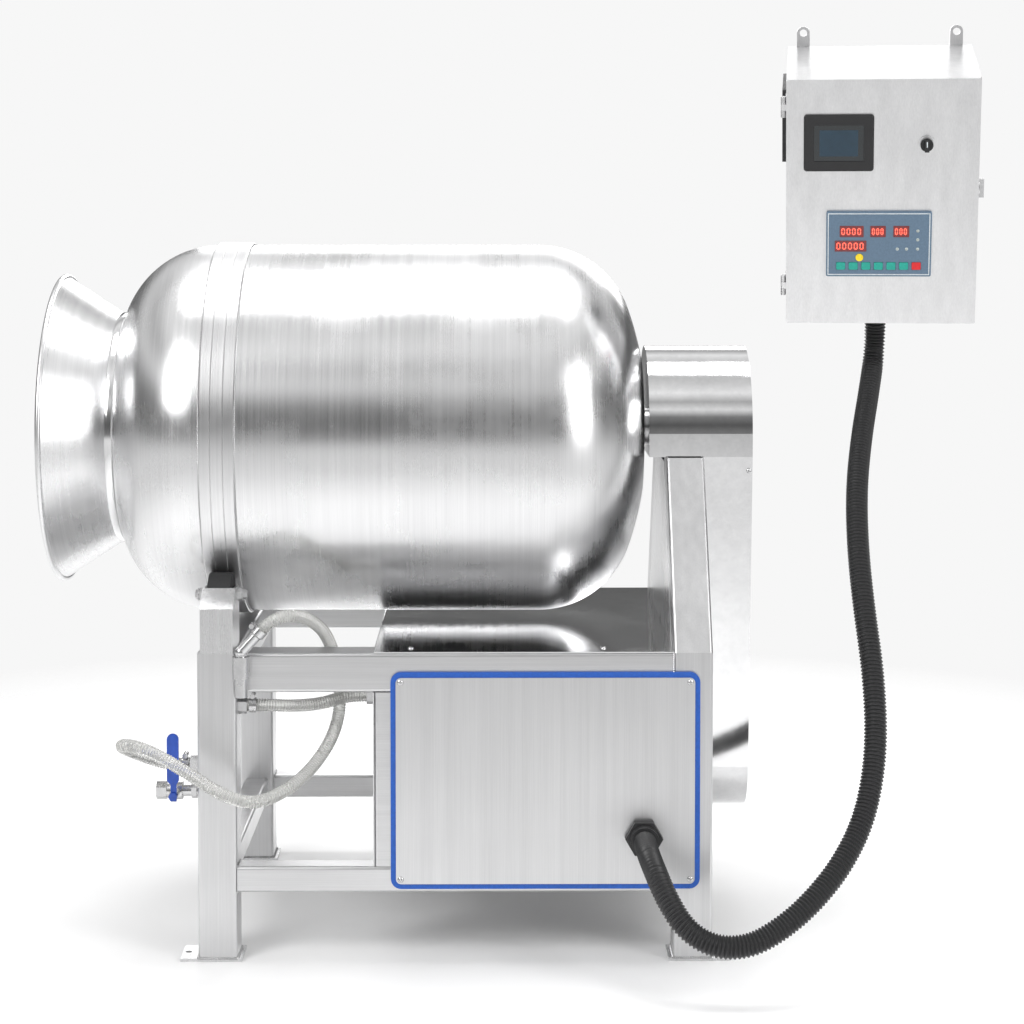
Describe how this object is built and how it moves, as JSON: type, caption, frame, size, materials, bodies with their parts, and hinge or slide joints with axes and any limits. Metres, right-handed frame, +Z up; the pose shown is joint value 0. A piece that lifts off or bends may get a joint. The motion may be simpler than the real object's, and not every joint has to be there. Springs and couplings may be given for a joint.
{
  "type": "meat vacuum tumbler",
  "caption": "Stainless drum on rollers and a belt drive over a welded frame with a cabinet, vacuum hoses and a hung control box.",
  "frame": {"origin": "on the floor, in the middle of the four anchor holes", "axes": "+X from the loading mouth to the drive end, +Z up, the cabinet's removable panel faces -Y"},
  "size_m": [1.5108, 0.8415, 1.4565],
  "materials": {
    "frame_steel": "brushed stainless steel",
    "polished_steel": "mirror-polished stainless steel",
    "drum_steel": "finely brushed stainless steel",
    "cast_housing": "painted casting",
    "black_rubber": "matt black rubber",
    "white_rubber": "white food rubber",
    "blue_gasket": "blue rubber sheet",
    "pump_paint": "satin machine paint",
    "gland_metal": "plated metal",
    "black_conduit": "corrugated black plastic",
    "clear_hose": "clear ribbed hose",
    "blue_lever": "blue sleeve",
    "box_steel": "brushed stainless steel",
    "black_plastic": "black plastic",
    "electrics_plastic": "grey plastic and plated steel",
    "keypad_blue": "slate blue-grey film",
    "teal_key": "teal key",
    "yellow_key": "yellow key",
    "red_key": "red key"
  },
  "bodies": {
    "frame": {"frame_posts": "frame_steel", "top_rails": "frame_steel", "lower_frame": "frame_steel", "foot_plates": "frame_steel", "roller_brackets": "frame_steel", "leaning_struts": "frame_steel", "bearing_support": "frame_steel", "cabinet_walls": "frame_steel", "back_panel": "frame_steel", "cabinet_panel": "frame_steel", "panel_screws": "frame_steel", "hose_collars": "frame_steel", "hose_connector": "frame_steel", "hose_clamps": "frame_steel", "drain_valve": "frame_steel", "guard_top": "polished_steel", "guard_bottom": "polished_steel", "deck_plate": "polished_steel", "box_hinges": "polished_steel", "shaft_bearing": "cast_housing", "gearmotor": "cast_housing", "drive_belts": "black_rubber", "panel_gasket": "blue_gasket", "vacuum_pump": "pump_paint", "conduit_glands": "gland_metal", "conduit": "black_conduit", "vacuum_hose": "clear_hose", "pump_hose": "clear_hose", "box_case": "box_steel", "box_vent": "black_plastic", "box_electrics": "electrics_plastic"},
    "drum": {"drum_shell": "drum_steel", "front_head": "drum_steel", "rear_head": "drum_steel", "riding_ring": "drum_steel", "mouth_funnel": "drum_steel", "neck_collar": "polished_steel", "drum_baffles": "drum_steel", "drum_shaft": "drum_steel", "drum_pulley": "cast_housing"},
    "near_roller": {"near_roller": "black_rubber"},
    "far_roller": {"far_roller": "black_rubber"},
    "motor_pulley": {"motor_pulley": "cast_housing"},
    "lid": {"lid_plate": "drum_steel", "lid_gasket": "white_rubber"},
    "valve_lever": {"valve_lever": "blue_lever"},
    "box_door": {"box_door": "box_steel", "box_seal": "black_rubber", "display_unit": "black_plastic", "keypad": "keypad_blue"},
    "speed_knob": {"speed_knob": "black_plastic"},
    "box_latch": {"box_latch": "polished_steel"},
    "round_key": {"round_key": "yellow_key"},
    "key_1": {"key_1": "teal_key"},
    "key_2": {"key_2": "teal_key"},
    "key_3": {"key_3": "teal_key"},
    "key_4": {"key_4": "teal_key"},
    "key_5": {"key_5": "teal_key"},
    "key_6": {"key_6": "teal_key"},
    "key_7": {"key_7": "red_key"}
  },
  "joints": [
    {"name": "drum_spin", "type": "hinge", "parent": "frame", "child": "drum", "pos_m": [0, 0, 0.794], "axis": [1, 0, 0], "continuous": true},
    {"name": "near_roller_spin", "type": "hinge", "parent": "frame", "child": "near_roller", "pos_m": [-0.3635, -0.23921, 0.55479], "axis": [1, 0, 0], "continuous": true},
    {"name": "far_roller_spin", "type": "hinge", "parent": "frame", "child": "far_roller", "pos_m": [-0.3635, 0.23921, 0.55479], "axis": [1, 0, 0], "continuous": true},
    {"name": "motor_pulley_spin", "type": "hinge", "parent": "frame", "child": "motor_pulley", "pos_m": [0.434, 0, 0.255], "axis": [1, 0, 0], "continuous": true},
    {"name": "lid_pull", "type": "slide", "parent": "drum", "child": "lid", "axis": [-1, 0, 0], "range_m": [0, 0.15]},
    {"name": "valve_turn", "type": "hinge", "parent": "frame", "child": "valve_lever", "pos_m": [-0.4295, -0.3, 0.258], "axis": [0, 1, 0], "range_deg": [0, 90]},
    {"name": "door_hinge", "type": "hinge", "parent": "frame", "child": "box_door", "pos_m": [0.51962, -0.12702, 1.1635], "axis": [-0.0395, -0.2813, 0.9588], "range_deg": [-110, 0]},
    {"name": "latch_turn", "type": "hinge", "parent": "frame", "child": "box_latch", "pos_m": [0.82372, -0.15111, 1.18566], "axis": [0.9903, -0.1392, 0], "range_deg": [0, 90]},
    {"name": "knob_turn", "type": "hinge", "parent": "box_door", "child": "speed_knob", "pos_m": [0.73509, -0.19259, 1.25328], "axis": [0.1334, 0.9495, 0.284], "range_deg": [-135, 135]},
    {"name": "key_1_press", "type": "slide", "parent": "box_door", "child": "key_1", "axis": [0.1334, 0.9495, 0.284], "range_m": [0, 0.0008], "stiffness_N_per_m": 250, "springref_m": -0.0004},
    {"name": "key_2_press", "type": "slide", "parent": "box_door", "child": "key_2", "axis": [0.1334, 0.9495, 0.284], "range_m": [0, 0.0008], "stiffness_N_per_m": 250, "springref_m": -0.0004},
    {"name": "key_3_press", "type": "slide", "parent": "box_door", "child": "key_3", "axis": [0.1334, 0.9495, 0.284], "range_m": [0, 0.0008], "stiffness_N_per_m": 250, "springref_m": -0.0004},
    {"name": "key_4_press", "type": "slide", "parent": "box_door", "child": "key_4", "axis": [0.1334, 0.9495, 0.284], "range_m": [0, 0.0008], "stiffness_N_per_m": 250, "springref_m": -0.0004},
    {"name": "key_5_press", "type": "slide", "parent": "box_door", "child": "key_5", "axis": [0.1334, 0.9495, 0.284], "range_m": [0, 0.0008], "stiffness_N_per_m": 250, "springref_m": -0.0004},
    {"name": "key_6_press", "type": "slide", "parent": "box_door", "child": "key_6", "axis": [0.1334, 0.9495, 0.284], "range_m": [0, 0.0008], "stiffness_N_per_m": 250, "springref_m": -0.0004},
    {"name": "key_7_press", "type": "slide", "parent": "box_door", "child": "key_7", "axis": [0.1334, 0.9495, 0.284], "range_m": [0, 0.0008], "stiffness_N_per_m": 250, "springref_m": -0.0004},
    {"name": "round_key_press", "type": "slide", "parent": "box_door", "child": "round_key", "axis": [0.1334, 0.9495, 0.284], "range_m": [0, 0.0008], "stiffness_N_per_m": 250, "springref_m": -0.0004}
  ],
  "couplings": [
    {"joint": "near_roller_spin", "follows": "drum_spin", "ratio": -8.9412},
    {"joint": "far_roller_spin", "follows": "drum_spin", "ratio": -8.9412},
    {"joint": "motor_pulley_spin", "follows": "drum_spin", "ratio": 2.5455}
  ]
}
